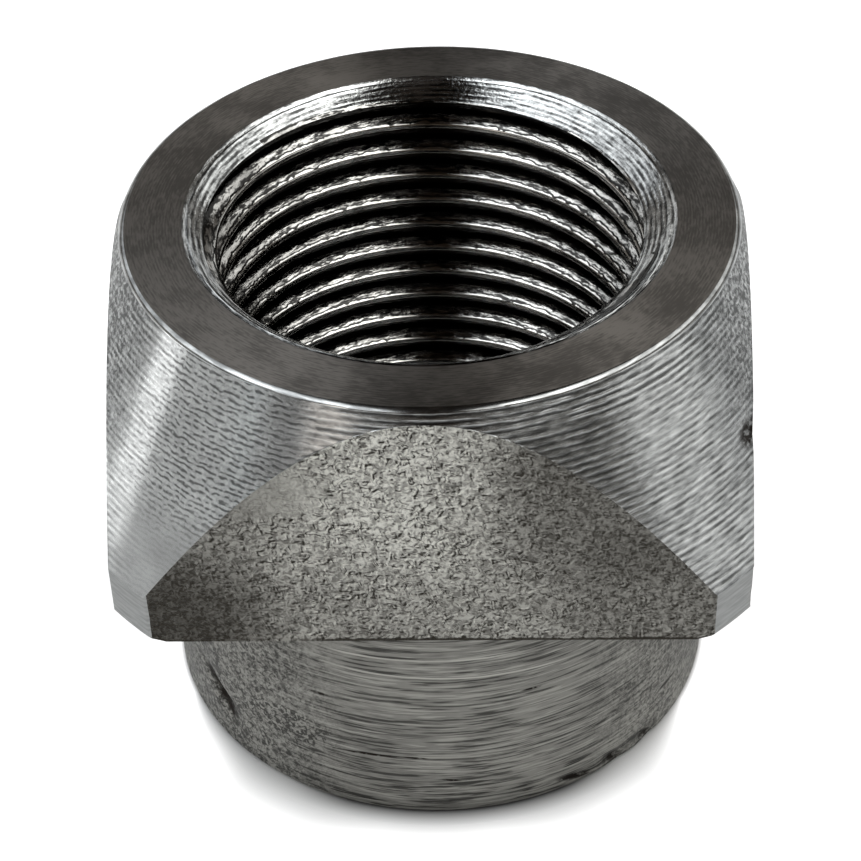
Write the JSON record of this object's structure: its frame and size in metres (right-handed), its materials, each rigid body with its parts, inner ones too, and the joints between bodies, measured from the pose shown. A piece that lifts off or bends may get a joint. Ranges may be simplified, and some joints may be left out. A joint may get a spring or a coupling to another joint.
{
  "type": "threaded tube insert",
  "caption": "Square-headed steel insert with turned corners, coned shoulders, a round spigot that enters a tube and a threaded bore right through.",
  "frame": {"origin": "centre of the spigot's foot, on the bore's axis", "axes": "+Z along the bore, from the spigot's foot to the ring on top; the flats of the square head face X and Y"},
  "size_m": [0.0444, 0.0444, 0.0402],
  "materials": {
    "steel": "bare machined steel, turned and faced, with rough bar skin on the flats"
  },
  "bodies": {
    "root": {"tube_insert": "steel"}
  },
  "joints": []
}
